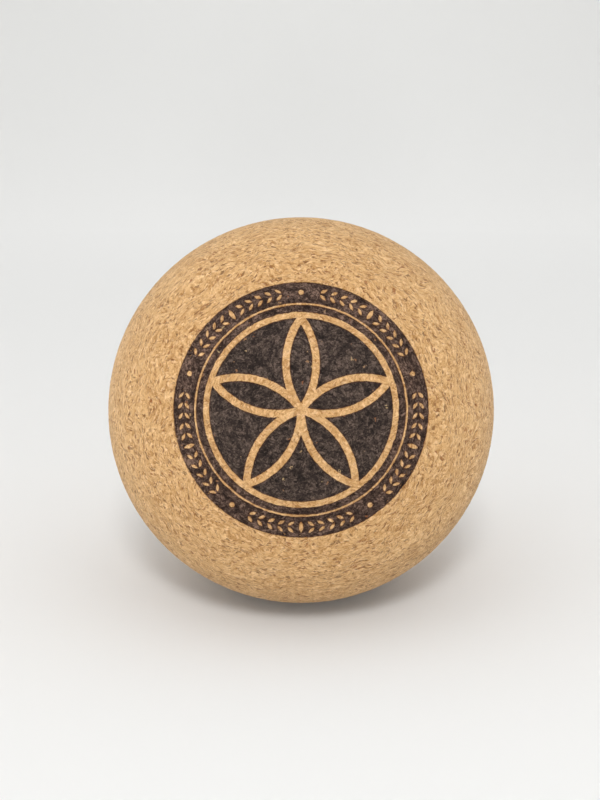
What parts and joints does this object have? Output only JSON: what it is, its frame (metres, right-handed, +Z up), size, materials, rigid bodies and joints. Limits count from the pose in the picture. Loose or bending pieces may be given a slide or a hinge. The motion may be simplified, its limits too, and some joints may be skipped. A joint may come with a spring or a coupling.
{
  "type": "massage ball",
  "caption": "Solid massage ball of fine agglomerated cork, 100 mm across, with a round laser-burnt rosette mark on its front.",
  "frame": {"origin": "on the floor, straight under the ball's centre, in the middle of the small patch that the resting ball touches it with", "axes": "+Z up through the ball's centre; -Y towards the front, where the mark's axis points 14.4 degrees above it; +X to the right as seen from the front"},
  "size_m": [0.1, 0.0999, 0.0999],
  "materials": {
    "cork": "sanded fine-grain agglomerated cork, matt",
    "charred_cork": "laser-charred cork, matt"
  },
  "bodies": {
    "root": {"cork_ball": "cork", "mark_outer_band": "charred_cork", "mark_inner_ring": "charred_cork", "mark_petal_1": "charred_cork", "mark_petal_2": "charred_cork", "mark_petal_3": "charred_cork", "mark_petal_4": "charred_cork", "mark_petal_5": "charred_cork", "mark_field_1": "charred_cork", "mark_field_2": "charred_cork", "mark_field_3": "charred_cork", "mark_field_4": "charred_cork", "mark_field_5": "charred_cork"}
  },
  "joints": []
}
